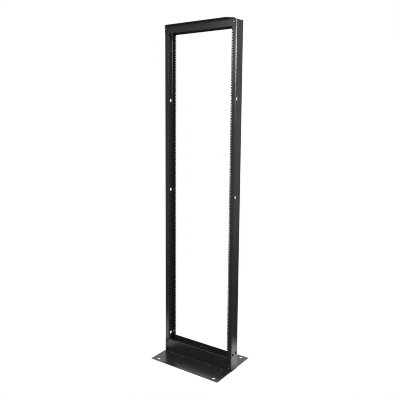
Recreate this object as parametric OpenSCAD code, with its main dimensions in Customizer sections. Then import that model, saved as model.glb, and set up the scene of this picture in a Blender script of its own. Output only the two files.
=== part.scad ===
// Two post open frame rack. Units are millimetres, +Z is up and the floor is Z = 0.
// The rack faces -Y. The origin is on the floor, midway between the posts.

/* [Overall] */
// Height of the posts in rack units of 44.45 mm
height_units = 48; // [20:1:52]
// Width over the outer faces of the posts
rack_width = 520.7; // [480:0.05:620]
// Depth of a post, front flange to rear flange
post_depth = 76.2; // [60:0.1:150]

/* [Posts] */
// Width of each post flange
flange_width = 31.75; // [24:0.05:40]
// Thickness of the post sheet
post_sheet = 2.5; // [1.5:0.1:4]
// Outer radius of the post bends
post_bend = 5; // [4:0.1:8]
// Distance from a flange's free edge to the middle of its mounting holes
mount_inset = 3.95; // [3.4:0.05:9]
// Diameter of a mounting hole
mount_hole = 6.2; // [4:0.1:6.6]
// Diameter of the cable holes in the webs
cable_hole = 19.05; // [8:0.05:26]
// Distance of the cable holes from the middle of the web
cable_offset = 19.05; // [14:0.05:22]
// Heights of the single cable holes
cable_heights = [1104.9, 1686];
// Height of the foot pair of cable holes
foot_pair_height = 108; // [60:0.1:200]
// Diameter of a ground stud hole
ground_hole = 8; // [5:0.1:10]
// Distance from the top of a post to the middle of its ground pair
ground_drop = 216; // [100:0.5:400]
// Distance between the two holes of a post's ground pair
ground_spacing = 25.4; // [15:0.1:32]

/* [Top angles] */
// Height of the standing leg of a top angle
top_rise = 44.45; // [34:0.05:60]
// Reach of the flat leg from the face of the post
top_reach = 44.45; // [34:0.05:70]
// Height of the flat leg over the tops of the posts
top_lift = 6.35; // [6.1:0.05:12]
// Distance from the post's outer face to the end of the flat leg
top_cutback = 10.35; // [8:0.05:40]
// Height over the tops of the posts at which the ends are cut back
top_notch = 3; // [0.5:0.1:5]
// Corner cut of the flat leg
top_corner = 28; // [4:0.1:34]
// Distances of the flat leg's holes from the middle
top_hole_x = [104.8, 203.2];
// Diameter of those holes
top_hole = 8; // [5:0.1:12]

/* [Base angles] */
// Height of the standing leg of a base angle
base_rise = 88.9; // [70:0.1:120]
// Reach of the floor leg from the face of the post
base_reach = 152.4; // [110:0.1:200]
// Distance from the edges of the floor leg to an anchor hole, front
anchor_inset = 25.4; // [20:0.1:45]
// Distance from the end of the floor leg to an anchor hole
anchor_end = 43; // [20:0.1:80]
// Diameter of an anchor hole
anchor_hole = 19; // [10:0.1:24]
// Distances of the holes beside the bend from the middle
bend_hole_x = [108, 196.4];
// Diameter of those holes
bend_hole = 8; // [5:0.1:12]
// Distance between those holes and the bend
bend_gap = 0.5; // [0:0.1:5]
// Distance between the ground holes in a base angle
base_ground_spacing = 31.75; // [15:0.05:40]
// Distance from the top of the standing leg to its ground holes
base_ground_drop = 22.2; // [10:0.1:40]

/* [Angle sheet] */
// Distance from a post's outer face to the ends of the angles
angle_setback = 3.2; // [0:0.1:8]
// Thickness of the angle sheet
angle_sheet = 3; // [2:0.1:4]
// Outer radius of the angle bends
angle_bend = 6; // [5:0.1:10]

/* [Bolting] */
// Diameter of a frame bolt hole
bolt_hole = 10.3; // [6:0.1:14]
// Height of the lower base bolts
bolt_height = 22.2; // [14:0.1:30]
// Distance between the lower and the upper base bolts
bolt_pitch = 50.8; // [20:0.1:55]

/* [Hidden] */
unit = 44.45;
hole_steps = [6.35, 22.225, 38.1];
rack_height = height_units * unit;
top_height = rack_height + top_lift;
notch_height = rack_height + top_notch;
mount_units = floor((top_height - top_rise - base_rise) / unit);
half_width = rack_width / 2;
half_depth = post_depth / 2;
angle_width = rack_width - 2 * angle_setback;
mount_x = half_width - flange_width + mount_inset;
bolt_x = half_width - flange_width / 2;
top_bolt_height = top_height - top_rise / 2;
ground_height = rack_height - ground_drop;
base_ground_height = base_rise - base_ground_drop;
anchor_x = angle_width / 2 - anchor_end;
anchor_y = half_depth + base_reach - anchor_inset;
bend_hole_y = half_depth + angle_bend + bend_gap + bend_hole / 2;
top_hole_y = half_depth + (angle_sheet + top_reach) / 2;
flat_leg = half_width - top_cutback;
slack = 1;
powder_black = [0.09, 0.09, 0.10];
$fn = 48;

// Drills along each axis, from one coordinate to another.
module drill_x(x0, x1, y, z, d) {
    translate([x0, y, z])
        rotate([0, 90, 0])
            cylinder(d = d, h = x1 - x0);
}

module drill_y(x, z, d, y0, y1) {
    translate([x, y1, z])
        rotate([90, 0, 0])
            cylinder(d = d, h = y1 - y0);
}

module drill_z(x, y, d, z0, z1) {
    translate([x, y, z0])
        cylinder(d = d, h = z1 - z0);
}

// A block of height h whose two edges on the -X side are rounded to radius r.
module soft_block(w, d, r, h) {
    union() {
        translate([r, 0, 0])
            cube([w - r, d, h]);
        translate([0, r, 0])
            cube([w, d - 2 * r, h]);
        translate([r, r, 0])
            cylinder(r = r, h = h);
        translate([r, d - r, 0])
            cylinder(r = r, h = h);
    }
}

// The left post's folded channel, open towards the middle of the rack.
module channel() {
    translate([-half_width, -half_depth, 0])
        difference() {
            soft_block(flange_width, post_depth, post_bend, rack_height);
            translate([post_sheet, post_sheet, -slack])
                soft_block(flange_width, post_depth - 2 * post_sheet,
                           post_bend - post_sheet, rack_height + 2 * slack);
        }
}

// Three mounting holes a rack unit, through both flanges, and the frame bolts.
module flange_drills() {
    for (u = [0 : mount_units - 1]) {
        for (step = hole_steps) {
            drill_y(-mount_x, base_rise + u * unit + step, mount_hole,
                    -half_depth - slack, half_depth + slack);
        }
    }
    for (z = [bolt_height, bolt_height + bolt_pitch, top_bolt_height]) {
        drill_y(-bolt_x, z, bolt_hole, -half_depth - slack, half_depth + slack);
    }
}

module web_drill(y, z, d) {
    drill_x(-half_width - slack, -half_width + post_sheet + slack, y, z, d);
}

module web_drills() {
    for (z = cable_heights) {
        web_drill(cable_offset, z, cable_hole);
    }
    for (s = [-1, 1]) {
        web_drill(s * cable_offset, foot_pair_height, cable_hole);
        web_drill(0, ground_height + s * ground_spacing / 2, ground_hole);
    }
}

module upright() {
    difference() {
        channel();
        flange_drills();
        web_drills();
    }
}

module left_upright() {
    color(powder_black)
        upright();
}

module right_upright() {
    color(powder_black)
        rotate([0, 0, 180])
            upright();
}

// A folded angle along X. Its bend is at Y = 0, Z = 0, one leg stands up from
// there and the flat leg reaches to -Y.
module folded_angle(rise, reach) {
    inner = angle_bend - angle_sheet;
    translate([-angle_width / 2, 0, 0])
        difference() {
            union() {
                translate([0, -reach, 0])
                    cube([angle_width, reach - angle_bend, angle_bend]);
                translate([0, -angle_bend, angle_bend])
                    cube([angle_width, angle_bend, rise - angle_bend]);
                translate([0, -angle_bend, angle_bend])
                    rotate([0, 90, 0])
                        cylinder(r = angle_bend, h = angle_width);
            }
            translate([-slack, -reach - slack, angle_sheet])
                cube([angle_width + 2 * slack, reach + slack - angle_bend, rise]);
            translate([-slack, -2 * angle_bend, angle_bend])
                cube([angle_width + 2 * slack, 2 * angle_bend - angle_sheet, rise]);
            translate([-slack, -angle_bend, angle_bend])
                rotate([0, 90, 0])
                    cylinder(r = inner, h = angle_width + 2 * slack);
        }
}

module leg_drill(x, z, d) {
    drill_y(x, z, d, -half_depth - angle_sheet - slack, -half_depth + slack);
}

module base_angle() {
    difference() {
        translate([0, -half_depth, 0])
            folded_angle(base_rise, base_reach);
        for (s = [-1, 1]) {
            leg_drill(s * bolt_x, bolt_height, bolt_hole);
            leg_drill(s * bolt_x, bolt_height + bolt_pitch, bolt_hole);
            leg_drill(s * base_ground_spacing / 2, base_ground_height, ground_hole);
            drill_z(s * anchor_x, -anchor_y, anchor_hole, -slack, angle_sheet + slack);
            for (x = bend_hole_x) {
                drill_z(s * x, -bend_hole_y, bend_hole, -slack, angle_sheet + slack);
            }
        }
    }
}

// What the flat leg of a top angle loses at its +X end: the end and a corner.
module end_trim() {
    front = -half_depth - top_reach;
    translate([flat_leg, front - slack, notch_height])
        cube([top_cutback + slack, top_reach + 2 * slack, top_lift]);
    translate([0, 0, notch_height])
        linear_extrude(height = top_lift)
            polygon([[flat_leg - top_corner, front],
                     [flat_leg - top_corner, front - slack],
                     [flat_leg + slack, front - slack],
                     [flat_leg + slack, front + top_corner],
                     [flat_leg, front + top_corner]]);
}

module top_angle() {
    difference() {
        translate([0, -half_depth, top_height])
            mirror([0, 0, 1])
                folded_angle(top_rise, top_reach);
        end_trim();
        mirror([1, 0, 0])
            end_trim();
        for (s = [-1, 1]) {
            leg_drill(s * bolt_x, top_bolt_height, bolt_hole);
            for (x = top_hole_x) {
                drill_z(s * x, -top_hole_y, top_hole, top_height - angle_sheet - slack,
                        top_height + slack);
            }
        }
    }
}

module front_top_angle() {
    color(powder_black)
        top_angle();
}

module rear_top_angle() {
    color(powder_black)
        rotate([0, 0, 180])
            top_angle();
}

module front_base_angle() {
    color(powder_black)
        base_angle();
}

module rear_base_angle() {
    color(powder_black)
        rotate([0, 0, 180])
            base_angle();
}

left_upright();
right_upright();
front_top_angle();
rear_top_angle();
front_base_angle();
rear_base_angle();
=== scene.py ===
"""Two post open frame rack: coating, fasteners and studio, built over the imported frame."""
import math

import bmesh
import bpy
from mathutils import Euler, Matrix, Vector


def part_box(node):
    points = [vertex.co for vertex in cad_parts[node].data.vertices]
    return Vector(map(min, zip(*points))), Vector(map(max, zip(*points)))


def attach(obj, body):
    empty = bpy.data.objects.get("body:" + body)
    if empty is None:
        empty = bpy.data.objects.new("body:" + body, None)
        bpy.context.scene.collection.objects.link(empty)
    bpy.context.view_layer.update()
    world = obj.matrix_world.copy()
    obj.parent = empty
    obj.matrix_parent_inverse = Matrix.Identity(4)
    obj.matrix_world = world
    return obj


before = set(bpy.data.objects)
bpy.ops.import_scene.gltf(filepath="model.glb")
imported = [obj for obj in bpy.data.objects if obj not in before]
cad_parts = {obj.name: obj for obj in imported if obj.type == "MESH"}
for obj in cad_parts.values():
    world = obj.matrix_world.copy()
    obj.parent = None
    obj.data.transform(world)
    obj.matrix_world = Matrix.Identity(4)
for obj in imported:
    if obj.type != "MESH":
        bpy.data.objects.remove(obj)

bl_info = {
    "name": "Open Frame Rack",
    "version": (1, 0, 0),
    "blender": (4, 5, 0),
    "location": "View3D > Sidebar > Rack",
    "description": "Dresses a two post open frame rack with its coating, fasteners and a studio",
    "category": "Object",
}

POSTS = ("left_upright", "right_upright")
TOP_ANGLES = ("front_top_angle", "rear_top_angle")
BASE_ANGLES = ("front_base_angle", "rear_base_angle")

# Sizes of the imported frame, in metres.
HALF_DEPTH = 0.0381  # from the middle of the rack to the outer face of a post's flange
ANGLE_SHEET = 0.0030
POST_SHEET = 0.0025
GRIP = ANGLE_SHEET + POST_SHEET  # what a frame bolt clamps
BOLT_X = 0.244475
BASE_BOLT_HEIGHTS = (0.0222, 0.0730)
TOP_BOLT_HEIGHTS = (2.11773,)

# Fasteners, in metres and radians.
BORE_CLEARANCE = 0.0003  # between the thread and the bore of a washer
THREAD_PAST_NUT = 0.0035
HEX_SIDES = 36  # points around a hexagon, six a side
RING_STEPS = 40
THREAD_STEPS = 20
FIRST_TURN = 0.37  # how far the first fastener is turned about its axis
NEXT_TURN = 1.91  # how much further each next one is turned
SHARP_ANGLE = math.radians(35)

# Textures of the finishes, in metres where they are lengths.
COAT_PEEL_DEPTH = 0.000004
COAT_GLOSS_SPREAD = 0.03
DUST_ROUGHNESS = 0.5  # what a full cover of dust adds to the roughness
ZINC_PEEL_SIZE = 0.0005
ZINC_PEEL_DEPTH = 0.000006
ZINC_EDGE = 0.0003
ZINC_DUST = 0.15
ZINC_DUST_COLOUR = (0.25, 0.24, 0.22)
ZINC_ROUGHNESS = 0.28
ZINC_GLOSS_SPREAD = 0.05
ZINC_CLOUD_SHADE = 0.82  # brightness of the darker clouds in the plating
BEVEL_SAMPLES = 4

# Stage, in metres and radians.
FLOOR_HALF_WIDTH = 30
FLOOR_DROP = 0.0002
# Each lit patch of floor: its middle, its inner and outer radius, and its brightness.
RIGHT_PATCH = ((0.36, 0.18, 0.0), 0.08, 0.26, 1.8)
LEFT_PATCH = ((-0.45, -0.30, 0.0), 0.14, 0.34, 1.6)
# The floor around them: two distances from the rack, and the brightness at each.
FLOOR_REACH = (1.0, 6.0, 0.02, 0.33)
FLOOR_FILL = 1.6  # what the floor adds for diffuse light
BEHIND = (-0.56, 0.83, 0.0)  # the direction in which the surround is brightest
BEHIND_RANGE = (-0.7, 0.9)  # cosines of the angle to it: at the dimmest and at the brightest
# Two heights in the surround, as the sine of the elevation, and the factor at each.
SURROUND_RISE = (0.28, 0.42, 1.0, 2.3)
SURROUND_FILL = 0.3  # what the surround adds for diffuse light
SOFT_BOX_AIM = Vector((0.25, 0.0, 2.0))
FRONT_BOX = ((-0.04, -3.33, 2.5), (2.04, 0.8))  # place, and width and height
SIDE_BOX = ((3.52, -0.46, 2.5), (2.9, 0.8))
SENSOR_WIDTH = 36.0
LENS = 44.66  # focal length, in millimetres like the sensor's width
LENS_SHIFT = (0.0238, -0.0325)
CLIP_RANGE = (0.05, 100)
CAMERA_PLACE = (1.7474, -2.5540, 1.5751)
CAMERA_DROP = 0.1385  # how far the camera looks down
CAMERA_HEADING = 0.6221  # how far the camera is turned left from looking along +Y
CAMERA_ROLL = 0.0048


class RackCoating(bpy.types.PropertyGroup):
    """Colours and texture of the powder coating."""

    colour: bpy.props.FloatVectorProperty(
        name="Coating colour",
        description="Colour of the black powder coating",
        subtype="COLOR",
        size=3,
        min=0.0,
        max=1.0,
        default=(0.0088, 0.0090, 0.0094),
    )
    # Painted highlight: a lighter colour painted along the sharp edges of the coating.
    edge_highlight_colour: bpy.props.FloatVectorProperty(
        name="Painted edge highlight colour",
        description="Lighter colour painted along sharp edges as a highlight",
        subtype="COLOR",
        size=3,
        min=0.0,
        max=1.0,
        default=(0.045, 0.045, 0.047),
    )
    dust: bpy.props.FloatVectorProperty(
        name="Dust colour",
        description="Colour of the fine dust on upward faces",
        subtype="COLOR",
        size=3,
        min=0.0,
        max=1.0,
        default=(0.30, 0.29, 0.27),
    )
    dusting: bpy.props.FloatProperty(
        name="Dust",
        description="How much dust lies on upward faces",
        subtype="FACTOR",
        min=0.0,
        max=1.0,
        default=0.01,
    )
    roughness: bpy.props.FloatProperty(
        name="Coating roughness",
        description="How soft the reflections in the coating are",
        subtype="FACTOR",
        min=0.05,
        max=1.0,
        default=0.235,
    )
    peel: bpy.props.FloatProperty(
        name="Orange peel size",
        description="Width of one dimple in the cured coating",
        subtype="DISTANCE",
        unit="LENGTH",
        min=0.0002,
        max=0.01,
        default=0.0016,
    )
    edge: bpy.props.FloatProperty(
        name="Edge radius",
        description="How far the coating rounds the edges of the sheet",
        subtype="DISTANCE",
        unit="LENGTH",
        min=0.0,
        max=0.003,
        default=0.0006,
    )


class RackFasteners(bpy.types.PropertyGroup):
    """Sizes and colours of the frame bolts."""

    zinc: bpy.props.FloatVectorProperty(
        name="Zinc colour",
        description="Colour of the black zinc plating",
        subtype="COLOR",
        size=3,
        min=0.0,
        max=1.0,
        default=(0.075, 0.075, 0.079),
    )
    across: bpy.props.FloatProperty(
        name="Across flats",
        description="Width of a bolt head and of a nut across two flats",
        subtype="DISTANCE",
        unit="LENGTH",
        min=0.006,
        max=0.03,
        default=0.0143,
    )
    head: bpy.props.FloatProperty(
        name="Head height",
        description="Height of a bolt head",
        subtype="DISTANCE",
        unit="LENGTH",
        min=0.002,
        max=0.02,
        default=0.0060,
    )
    nut: bpy.props.FloatProperty(
        name="Nut height",
        description="Height of a nut",
        subtype="DISTANCE",
        unit="LENGTH",
        min=0.002,
        max=0.02,
        default=0.0082,
    )
    thread: bpy.props.FloatProperty(
        name="Thread diameter",
        description="Outer diameter of the thread",
        subtype="DISTANCE",
        unit="LENGTH",
        min=0.003,
        max=0.01,
        default=0.0095,
    )
    pitch: bpy.props.FloatProperty(
        name="Thread pitch",
        description="Distance between two turns of the thread",
        subtype="DISTANCE",
        unit="LENGTH",
        min=0.0005,
        max=0.003,
        default=0.0016,
    )
    washer: bpy.props.FloatProperty(
        name="Washer diameter",
        description="Outer diameter of a washer",
        subtype="DISTANCE",
        unit="LENGTH",
        min=0.01,
        max=0.03,
        default=0.0205,
    )
    washer_sheet: bpy.props.FloatProperty(
        name="Washer thickness",
        description="Thickness of a washer",
        subtype="DISTANCE",
        unit="LENGTH",
        min=0.0005,
        max=0.004,
        default=0.0016,
    )


class RackStudio(bpy.types.PropertyGroup):
    """Brightness of the studio."""

    front: bpy.props.FloatProperty(
        name="Front soft box",
        description="Power of the soft box in front of the rack",
        subtype="POWER",
        unit="POWER",
        min=0.0,
        default=140.0,
    )
    side: bpy.props.FloatProperty(
        name="Side soft box",
        description="Power of the soft box to the right of the rack",
        subtype="POWER",
        unit="POWER",
        min=0.0,
        default=270.0,
    )
    behind: bpy.props.FloatProperty(
        name="Brightness behind",
        description="Brightness of the studio behind the rack",
        min=0.0,
        default=0.54,
    )
    ahead: bpy.props.FloatProperty(
        name="Brightness ahead",
        description="Brightness of the studio in front of the rack",
        min=0.0,
        default=0.03,
    )


def group_of(name, inputs, outputs):
    """A new shader node group with its sockets, and its input and output nodes."""
    tree = bpy.data.node_groups.new(name, "ShaderNodeTree")
    for way, sockets in (("INPUT", inputs), ("OUTPUT", outputs)):
        for label, kind in sockets:
            tree.interface.new_socket(label, in_out=way, socket_type="NodeSocket" + kind)
    return tree, tree.nodes.new("NodeGroupInput"), tree.nodes.new("NodeGroupOutput")


def math_node(tree, operation, first, second=None, clamp=False):
    """A Math node. Each input is a number, or the output socket that drives it."""
    node = tree.nodes.new("ShaderNodeMath")
    node.operation = operation
    node.use_clamp = clamp
    for socket, value in zip(node.inputs, (first, second)):
        if isinstance(value, (int, float)):
            socket.default_value = value
        elif value is not None:
            tree.links.new(value, socket)
    return node.outputs["Value"]


def noise_of(tree, vector, scale, detail, roughness=0.5):
    """The value of a Noise Texture."""
    node = tree.nodes.new("ShaderNodeTexNoise")
    node.inputs["Detail"].default_value = detail
    node.inputs["Roughness"].default_value = roughness
    if isinstance(scale, (int, float)):
        node.inputs["Scale"].default_value = scale
    else:
        tree.links.new(scale, node.inputs["Scale"])
    tree.links.new(vector, node.inputs["Vector"])
    return node.outputs["Fac"]


def range_of(tree, value, low, high, to_low=0.0, to_high=1.0):
    """A smooth Map Range of a value."""
    node = tree.nodes.new("ShaderNodeMapRange")
    node.interpolation_type = "SMOOTHSTEP"
    tree.links.new(value, node.inputs["Value"])
    ends = {"From Min": low, "From Max": high, "To Min": to_low, "To Max": to_high}
    for label, number in ends.items():
        node.inputs[label].default_value = number
    return node.outputs["Result"]


def rounded(tree, radius):
    """The normals of a surface with its edges rounded."""
    bevel = tree.nodes.new("ShaderNodeBevel")
    bevel.samples = BEVEL_SAMPLES
    tree.links.new(radius, bevel.inputs["Radius"])
    return bevel.outputs["Normal"]


def peel_group():
    """Normals of a surface whose coating cured with orange peel, over rounded edges."""
    name = "orange peel"
    if name in bpy.data.node_groups:
        return bpy.data.node_groups[name]
    tree, given, made = group_of(
        name,
        (("Vector", "Vector"), ("Size", "Float"), ("Depth", "Float"), ("Edge", "Float")),
        (("Normal", "Vector"),),
    )
    vector = given.outputs["Vector"]
    scale = math_node(tree, "DIVIDE", 1.0, given.outputs["Size"])
    dimples = noise_of(tree, vector, scale, 1.5)
    grains = noise_of(tree, vector, math_node(tree, "MULTIPLY", scale, 4.3), 1.0)
    height = math_node(tree, "ADD", dimples, math_node(tree, "MULTIPLY", grains, 0.25))
    bump = tree.nodes.new("ShaderNodeBump")
    bump.inputs["Strength"].default_value = 1.0
    tree.links.new(given.outputs["Depth"], bump.inputs["Distance"])
    tree.links.new(height, bump.inputs["Height"])
    tree.links.new(rounded(tree, given.outputs["Edge"]), bump.inputs["Normal"])
    tree.links.new(bump.outputs["Normal"], made.inputs["Normal"])
    return tree


def edge_highlight_group():
    """A mask of the sharp edges, broken up by noise, where a highlight is painted as a lighter
    colour.
    """
    name = "worn edges"
    if name in bpy.data.node_groups:
        return bpy.data.node_groups[name]
    tree, given, made = group_of(
        name,
        (("Vector", "Vector"), ("Edge", "Float")),
        (("Mask", "Float"),),
    )
    flat = tree.nodes.new("ShaderNodeNewGeometry")
    dot = tree.nodes.new("ShaderNodeVectorMath")
    dot.operation = "DOT_PRODUCT"
    tree.links.new(rounded(tree, given.outputs["Edge"]), dot.inputs[0])
    tree.links.new(flat.outputs["True Normal"], dot.inputs[1])
    turned = range_of(tree, dot.outputs["Value"], 0.995, 0.86)
    broken = range_of(tree, noise_of(tree, given.outputs["Vector"], 90.0, 4.0, 0.6), 0.35, 0.65)
    tree.links.new(math_node(tree, "MULTIPLY", turned, broken), made.inputs["Mask"])
    return tree


def dust_group():
    """A mask of dust, on faces that look upwards."""
    name = "settled dust"
    if name in bpy.data.node_groups:
        return bpy.data.node_groups[name]
    tree, given, made = group_of(
        name,
        (("Vector", "Vector"), ("Amount", "Float")),
        (("Mask", "Float"),),
    )
    flat = tree.nodes.new("ShaderNodeNewGeometry")
    split = tree.nodes.new("ShaderNodeSeparateXYZ")
    tree.links.new(flat.outputs["Normal"], split.inputs["Vector"])
    upward = range_of(tree, split.outputs["Z"], 0.55, 0.98)
    vector = given.outputs["Vector"]
    cloud = range_of(tree, noise_of(tree, vector, 14.0, 5.0, 0.6), 0.3, 0.75)
    speck = range_of(tree, noise_of(tree, vector, 900.0, 1.0), 0.60, 0.72)
    cover = math_node(tree, "ADD", cloud, math_node(tree, "MULTIPLY", speck, 1.5))
    amount = math_node(tree, "MULTIPLY", cover, given.outputs["Amount"])
    tree.links.new(math_node(tree, "MULTIPLY", amount, upward, clamp=True), made.inputs["Mask"])
    return tree


def uneven_group():
    """A roughness that drifts over a surface, with fine sparkle."""
    name = "uneven gloss"
    if name in bpy.data.node_groups:
        return bpy.data.node_groups[name]
    tree, given, made = group_of(
        name,
        (("Vector", "Vector"), ("Roughness", "Float"), ("Spread", "Float")),
        (("Roughness", "Float"),),
    )
    vector = given.outputs["Vector"]
    drift = math_node(tree, "MULTIPLY", noise_of(tree, vector, 9.0, 3.0), 0.65)
    grain = math_node(tree, "MULTIPLY", noise_of(tree, vector, 700.0, 1.0), 0.35)
    both = math_node(tree, "SUBTRACT", math_node(tree, "ADD", drift, grain), 0.5)
    off = math_node(tree, "MULTIPLY", both, given.outputs["Spread"])
    off = math_node(tree, "MULTIPLY", off, 4.0)
    uneven = math_node(tree, "ADD", given.outputs["Roughness"], off)
    tree.links.new(uneven, made.inputs["Roughness"])
    return tree


def use(tree, group, **values):
    """A node of a group, with numbers set and sockets linked by the group's labels."""
    node = tree.nodes.new("ShaderNodeGroup")
    node.node_tree = group
    for label, value in values.items():
        if isinstance(value, (int, float)):
            node.inputs[label].default_value = value
        else:
            tree.links.new(value, node.inputs[label])
    return node


def mixed(tree, mask, first, second):
    """A colour that goes from the first to the second with a mask. Either may be numbers."""
    node = tree.nodes.new("ShaderNodeMix")
    node.data_type = "RGBA"
    tree.links.new(mask, node.inputs[0])
    for socket, value in ((node.inputs[6], first), (node.inputs[7], second)):
        if isinstance(value, bpy.types.NodeSocket):
            tree.links.new(value, socket)
        else:
            socket.default_value = (*value, 1.0)
    return node.outputs[2]


def new_material(name):
    """A new material, its node tree and the place of a point in its object."""
    material = bpy.data.materials.new(name)
    material.use_nodes = True
    tree = material.node_tree
    return material, tree, tree.nodes.new("ShaderNodeTexCoord").outputs["Object"]


def powder_coat(name, coating):
    """The black powder coating."""
    material, tree, vector = new_material(name)
    shader = tree.nodes["Principled BSDF"]
    peel = use(tree, peel_group(), Vector=vector, Size=coating.peel, Depth=COAT_PEEL_DEPTH,
               Edge=coating.edge)
    # Mask of the sharp edges that get the painted highlight.
    edges = use(tree, edge_highlight_group(), Vector=vector, Edge=coating.edge)
    dust = use(tree, dust_group(), Vector=vector, Amount=coating.dusting)
    gloss = use(tree, uneven_group(), Vector=vector, Roughness=coating.roughness,
                Spread=COAT_GLOSS_SPREAD)
    # Sharp edges take the lighter colour: a painted highlight along them.
    colour = mixed(tree, edges.outputs["Mask"], coating.colour, coating.edge_highlight_colour)
    colour = mixed(tree, dust.outputs["Mask"], colour, coating.dust)
    duller = math_node(tree, "MULTIPLY", dust.outputs["Mask"], DUST_ROUGHNESS)
    roughness = math_node(tree, "ADD", gloss.outputs["Roughness"], duller, clamp=True)
    tree.links.new(colour, shader.inputs["Base Color"])
    tree.links.new(roughness, shader.inputs["Roughness"])
    tree.links.new(peel.outputs["Normal"], shader.inputs["Normal"])
    return material


def zinc_plate(name, fasteners):
    """The black zinc plating of the fasteners."""
    material, tree, vector = new_material(name)
    shader = tree.nodes["Principled BSDF"]
    shader.inputs["Metallic"].default_value = 1.0
    peel = use(tree, peel_group(), Vector=vector, Size=ZINC_PEEL_SIZE, Depth=ZINC_PEEL_DEPTH,
               Edge=ZINC_EDGE)
    dust = use(tree, dust_group(), Vector=vector, Amount=ZINC_DUST)
    gloss = use(tree, uneven_group(), Vector=vector, Roughness=ZINC_ROUGHNESS,
                Spread=ZINC_GLOSS_SPREAD)
    cloud = range_of(tree, noise_of(tree, vector, 260.0, 3.0), 0.3, 0.7)
    shade = [ZINC_CLOUD_SHADE * part for part in fasteners.zinc]
    colour = mixed(tree, cloud, fasteners.zinc, shade)
    colour = mixed(tree, dust.outputs["Mask"], colour, ZINC_DUST_COLOUR)
    tree.links.new(colour, shader.inputs["Base Color"])
    tree.links.new(gloss.outputs["Roughness"], shader.inputs["Roughness"])
    tree.links.new(peel.outputs["Normal"], shader.inputs["Normal"])
    return material


def paint(piece, material):
    """Gives a piece one material, in place of all that it has."""
    piece.data.materials.clear()
    piece.data.materials.append(material)


def lathe(bm, profile, steps, closed):
    """Turns (radius, height) points about Z. A closed profile makes a ring, an open one a rod."""
    verts = [bm.verts.new((radius, 0.0, height)) for radius, height in profile]
    after = verts[1:] + verts[:1] if closed else verts[1:]
    edges = [bm.edges.new(pair) for pair in zip(verts, after)]
    bmesh.ops.spin(bm, geom=verts + edges, cent=(0, 0, 0), axis=(0, 0, 1), dvec=(0, 0, 0),
                   angle=math.tau, steps=steps, use_merge=True)


def ring_of(bm, height, radius_at):
    """Points around Z at a height. Their radius follows from their angle."""
    ring = []
    for i in range(HEX_SIDES):
        turn = math.tau * i / HEX_SIDES
        radius = radius_at(turn)
        ring.append(bm.verts.new((radius * math.cos(turn), radius * math.sin(turn), height)))
    return ring


def hexagon(bm, across, low, high, bore=0.0):
    """A hexagonal prism about Z with its upper corners turned off. It may have a bore."""
    corner = across / math.sqrt(3.0)
    drop = (corner - across / 2) * 0.55

    def flats(turn):
        return across / 2 / math.cos(turn % (math.pi / 3) - math.pi / 6)

    rings = [
        ring_of(bm, low, flats),
        ring_of(bm, high - drop, flats),
        ring_of(bm, high, lambda turn: across / 2 * 0.97),
    ]
    if bore:
        rings += [ring_of(bm, height, lambda turn: bore / 2) for height in (high, low)]
        rings.append(rings[0])
    for below, above in zip(rings, rings[1:]):
        for i in range(HEX_SIDES):
            j = (i + 1) % HEX_SIDES
            bm.faces.new((below[i], below[j], above[j], above[i]))
    if not bore:
        bm.faces.new(rings[-1])
        bm.faces.new(rings[0][::-1])


def threaded(bm, diameter, pitch, low, high):
    """A threaded rod about Z from low up to high, with its chamfered end at low."""
    root = diameter / 2 - 0.6 * pitch
    profile = [(0.0, low), (root * 0.8, low), (root, low + 0.3 * pitch)]
    height = low + 0.5 * pitch
    while height + pitch < high:
        profile += [(diameter / 2, height + 0.15 * pitch), (diameter / 2, height + 0.3 * pitch),
                    (root, height + 0.75 * pitch), (root, height + 0.9 * pitch)]
        height += pitch
    profile += [(root, high), (0.0, high)]
    lathe(bm, profile, THREAD_STEPS, closed=False)


def bolt_places():
    """The middle of each frame bolt's hole on its angle's outer face, and which way it faces."""
    places = []
    for name in BASE_ANGLES + TOP_ANGLES:
        low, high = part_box(name)
        side = -1.0 if low[1] + high[1] < 0 else 1.0
        face = side * (HALF_DEPTH + ANGLE_SHEET)
        heights = BASE_BOLT_HEIGHTS if name in BASE_ANGLES else TOP_BOLT_HEIGHTS
        for height in heights:
            for x in (-BOLT_X, BOLT_X):
                places.append((Vector((x, face, height)), side))
    return places


def fasten(name, maker, material):
    """One piece that holds what maker builds about Z, once at every bolt, with +Z outwards."""
    whole = bmesh.new()
    for index, (place, side) in enumerate(bolt_places()):
        part = bmesh.new()
        maker(part)
        bmesh.ops.recalc_face_normals(part, faces=part.faces)
        turn = Matrix.Rotation(side * -math.pi / 2, 4, "X")
        spin = Matrix.Rotation(FIRST_TURN + NEXT_TURN * index, 4, "Z")
        bmesh.ops.transform(part, matrix=Matrix.Translation(place) @ turn @ spin, verts=part.verts)
        held = bpy.data.meshes.new("part")
        part.to_mesh(held)
        part.free()
        whole.from_mesh(held)
        bpy.data.meshes.remove(held)
    mesh = bpy.data.meshes.new(name)
    whole.to_mesh(mesh)
    whole.free()
    for face in mesh.polygons:
        face.use_smooth = True
    mesh.set_sharp_from_angle(angle=SHARP_ANGLE)
    piece = bpy.data.objects.new(name, mesh)
    bpy.context.scene.collection.objects.link(piece)
    paint(piece, material)
    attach(piece, "root")


def zinc_of(context):
    """The zinc plating, made once."""
    name = "zinc plating"
    return bpy.data.materials.get(name) or zinc_plate(name, context.scene.rack_fasteners)


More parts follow.
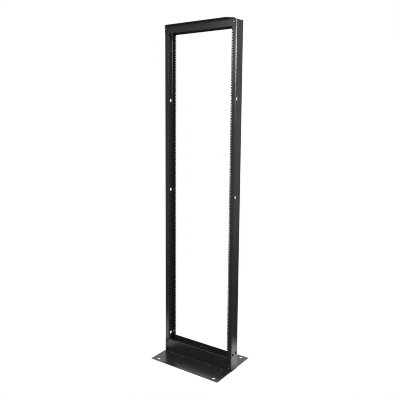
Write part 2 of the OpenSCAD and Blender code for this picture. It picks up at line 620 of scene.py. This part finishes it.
class RACK_OT_stage(bpy.types.Operator):
    """Adds the floor, the lights and the camera."""

    bl_idname = "rack.stage"
    bl_label = "Stage"

    def execute(self, context):
        scene = context.scene
        studio = scene.rack_studio
        scene.view_settings.view_transform = "Standard"
        scene.cycles.use_denoising = True
        scene.cycles.denoising_prefilter = "NONE"
        scene.cycles.denoising_input_passes = "RGB_ALBEDO"
        scene.cycles.filter_width = 1.0
        self.floor(scene)
        self.world(scene, studio)
        self.lights(scene, studio)
        self.camera(scene)
        return {"FINISHED"}

    def floor(self, scene):
        """A white floor. Its reflections show a lit patch on either side of the rack."""
        bm = bmesh.new()
        bmesh.ops.create_grid(bm, x_segments=1, y_segments=1, size=FLOOR_HALF_WIDTH)
        mesh = bpy.data.meshes.new("floor")
        bm.to_mesh(mesh)
        bm.free()
        floor = bpy.data.objects.new("floor", mesh)
        floor.location.z = -FLOOR_DROP
        scene.collection.objects.link(floor)
        material, tree, vector = new_material("floor")
        tree.nodes.remove(tree.nodes["Principled BSDF"])
        right = self.patch(tree, vector, *RIGHT_PATCH)
        left = self.patch(tree, vector, *LEFT_PATCH)
        far = range_of(tree, self.span(tree, vector, (0.0, 0.0, 0.0)), *FLOOR_REACH)
        seen = tree.nodes.new("ShaderNodeEmission")
        lit = tree.nodes.new("ShaderNodeEmission")
        path = tree.nodes.new("ShaderNodeLightPath")
        fill = math_node(tree, "MULTIPLY", path.outputs["Is Diffuse Ray"], FLOOR_FILL)
        patches = math_node(tree, "ADD", right, left)
        around = math_node(tree, "ADD", far, fill)
        tree.links.new(math_node(tree, "ADD", patches, around), lit.inputs["Strength"])
        self.show(tree, path, lit.outputs["Emission"], seen.outputs["Emission"], "Material Output")
        material.cycles.emission_sampling = "NONE"
        paint(floor, material)

    def span(self, tree, vector, place):
        """The distance from a place."""
        node = tree.nodes.new("ShaderNodeVectorMath")
        node.operation = "DISTANCE"
        node.inputs[1].default_value = place
        tree.links.new(vector, node.inputs[0])
        return node.outputs["Value"]

    def patch(self, tree, vector, place, inner, outer, strength):
        """The brightness of a round patch that is full up to a radius and gone at another."""
        return range_of(tree, self.span(tree, vector, place), inner, outer, strength, 0.0)

    def show(self, tree, path, reflected, seen, output):
        """Gives the camera one shader, and all other rays another."""
        mix = tree.nodes.new("ShaderNodeMixShader")
        tree.links.new(path.outputs["Is Camera Ray"], mix.inputs["Fac"])
        tree.links.new(reflected, mix.inputs[1])
        tree.links.new(seen, mix.inputs[2])
        tree.links.new(mix.outputs["Shader"], tree.nodes[output].inputs["Surface"])

    def world(self, scene, studio):
        """A white surround. Its reflections are brighter behind the rack, and higher up."""
        world = bpy.data.worlds.new("studio")
        scene.world = world
        world.use_nodes = True
        world.cycles.sampling_method = "NONE"
        tree = world.node_tree
        around = tree.nodes["Background"]
        vector = tree.nodes.new("ShaderNodeTexCoord").outputs["Generated"]
        dot = tree.nodes.new("ShaderNodeVectorMath")
        dot.operation = "DOT_PRODUCT"
        dot.inputs[1].default_value = BEHIND
        tree.links.new(vector, dot.inputs[0])
        split = tree.nodes.new("ShaderNodeSeparateXYZ")
        tree.links.new(vector, split.inputs["Vector"])
        path = tree.nodes.new("ShaderNodeLightPath")
        level = range_of(tree, dot.outputs["Value"], *BEHIND_RANGE, studio.ahead, studio.behind)
        rise = range_of(tree, split.outputs["Z"], *SURROUND_RISE)
        fill = math_node(tree, "MULTIPLY", path.outputs["Is Diffuse Ray"], SURROUND_FILL)
        strength = math_node(tree, "ADD", math_node(tree, "MULTIPLY", level, rise), fill)
        tree.links.new(strength, around.inputs["Strength"])
        seen = tree.nodes.new("ShaderNodeBackground")
        for shader in (around, seen):
            shader.inputs["Color"].default_value = (1.0, 1.0, 1.0, 1.0)
        self.show(tree, path, around.outputs["Background"], seen.outputs["Background"],
                  "World Output")

    def lights(self, scene, studio):
        """Two soft boxes, a little higher than the rack: one in front, and one to the right."""
        for name, (place, size), power in (
            ("front soft box", FRONT_BOX, studio.front),
            ("side soft box", SIDE_BOX, studio.side),
        ):
            data = bpy.data.lights.new(name, "AREA")
            data.shape = "RECTANGLE"
            data.size, data.size_y = size
            data.energy = power
            light = bpy.data.objects.new(name, data)
            scene.collection.objects.link(light)
            light.location = place
            light.visible_camera = False
            aim = SOFT_BOX_AIM - light.location
            light.rotation_euler = aim.to_track_quat("-Z", "Y").to_euler()

    def camera(self, scene):
        """The camera, to the right of the rack's front, a little under its top."""
        data = bpy.data.cameras.new("camera")
        data.sensor_width = SENSOR_WIDTH
        data.lens = LENS
        data.shift_x, data.shift_y = LENS_SHIFT
        data.clip_start, data.clip_end = CLIP_RANGE
        camera = bpy.data.objects.new("camera", data)
        scene.collection.objects.link(camera)
        camera.location = CAMERA_PLACE
        level = Euler((math.pi / 2 - CAMERA_DROP, 0.0, CAMERA_HEADING)).to_matrix()
        camera.rotation_euler = (level @ Matrix.Rotation(CAMERA_ROLL, 3, "Z")).to_euler()
        scene.camera = camera


class RACK_OT_coating(bpy.types.Operator):
    """Powder coats the posts and the angles."""

    bl_idname = "rack.coating"
    bl_label = "Powder coating"

    def execute(self, context):
        coat = powder_coat("black powder coating", context.scene.rack_coating)
        for name in POSTS + TOP_ANGLES + BASE_ANGLES:
            paint(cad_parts[name], coat)
        return {"FINISHED"}


class RACK_OT_washers(bpy.types.Operator):
    """Adds a washer under every bolt head and every nut."""

    bl_idname = "rack.washers"
    bl_label = "Washers"

    def execute(self, context):
        sizes = context.scene.rack_fasteners
        sheet, soft = sizes.washer_sheet, 0.15 * sizes.washer_sheet

        def maker(bm):
            bore, rim = sizes.thread / 2 + BORE_CLEARANCE, sizes.washer / 2
            for low in (0.0, -GRIP - sheet):
                high = low + sheet
                profile = ((bore, low), (rim - soft, low), (rim, low + soft), (rim, high - soft),
                           (rim - soft, high), (bore + soft, high), (bore, high - soft))
                lathe(bm, profile, RING_STEPS, closed=True)

        fasten("washers", maker, zinc_of(context))
        return {"FINISHED"}


class RACK_OT_bolts(bpy.types.Operator):
    """Adds the bolts that hold the angles to the posts."""

    bl_idname = "rack.bolts"
    bl_label = "Bolts"

    def execute(self, context):
        sizes = context.scene.rack_fasteners

        def maker(bm):
            seat = sizes.washer_sheet
            hexagon(bm, sizes.across, seat, seat + sizes.head)
            tip = -GRIP - seat - sizes.nut - THREAD_PAST_NUT
            threaded(bm, sizes.thread, sizes.pitch, tip, seat)

        fasten("bolts", maker, zinc_of(context))
        return {"FINISHED"}


class RACK_OT_nuts(bpy.types.Operator):
    """Adds a nut on every bolt, inside the post's channel."""

    bl_idname = "rack.nuts"
    bl_label = "Nuts"

    def execute(self, context):
        sizes = context.scene.rack_fasteners

        def maker(bm):
            seat = GRIP + sizes.washer_sheet
            hexagon(bm, sizes.across, seat, seat + sizes.nut, sizes.thread - 0.5 * sizes.pitch)
            bmesh.ops.transform(bm, matrix=Matrix.Rotation(math.pi, 4, "X"), verts=bm.verts)

        fasten("nuts", maker, zinc_of(context))
        return {"FINISHED"}


class RACK_PT_panel(bpy.types.Panel):
    """Lists the pieces of the rack."""

    bl_idname = "RACK_PT_panel"
    bl_label = "Open frame rack"
    bl_space_type = "VIEW_3D"
    bl_region_type = "UI"
    bl_category = "Rack"

    def draw(self, context):
        layout = self.layout
        scene = context.scene
        for held in (scene.rack_coating, scene.rack_fasteners, scene.rack_studio):
            box = layout.box()
            for name in held.bl_rna.properties.keys():
                if name not in ("rna_type", "name"):
                    box.prop(held, name)
        for cls in STEPS:
            layout.operator(cls.bl_idname)


STEPS = (RACK_OT_stage, RACK_OT_coating, RACK_OT_washers, RACK_OT_bolts, RACK_OT_nuts)
CLASSES = (RackCoating, RackFasteners, RackStudio) + STEPS + (RACK_PT_panel,)


def register():
    for cls in CLASSES:
        bpy.utils.register_class(cls)
    bpy.types.Scene.rack_coating = bpy.props.PointerProperty(type=RackCoating)
    bpy.types.Scene.rack_fasteners = bpy.props.PointerProperty(type=RackFasteners)
    bpy.types.Scene.rack_studio = bpy.props.PointerProperty(type=RackStudio)


def unregister():
    del bpy.types.Scene.rack_studio
    del bpy.types.Scene.rack_fasteners
    del bpy.types.Scene.rack_coating
    for cls in reversed(CLASSES):
        bpy.utils.unregister_class(cls)


def main():
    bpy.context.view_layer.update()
    register()
    bpy.ops.rack.stage()
    bpy.ops.rack.coating()
    bpy.ops.rack.washers()
    bpy.ops.rack.bolts()
    bpy.ops.rack.nuts()


if __name__ == "__main__":
    main()
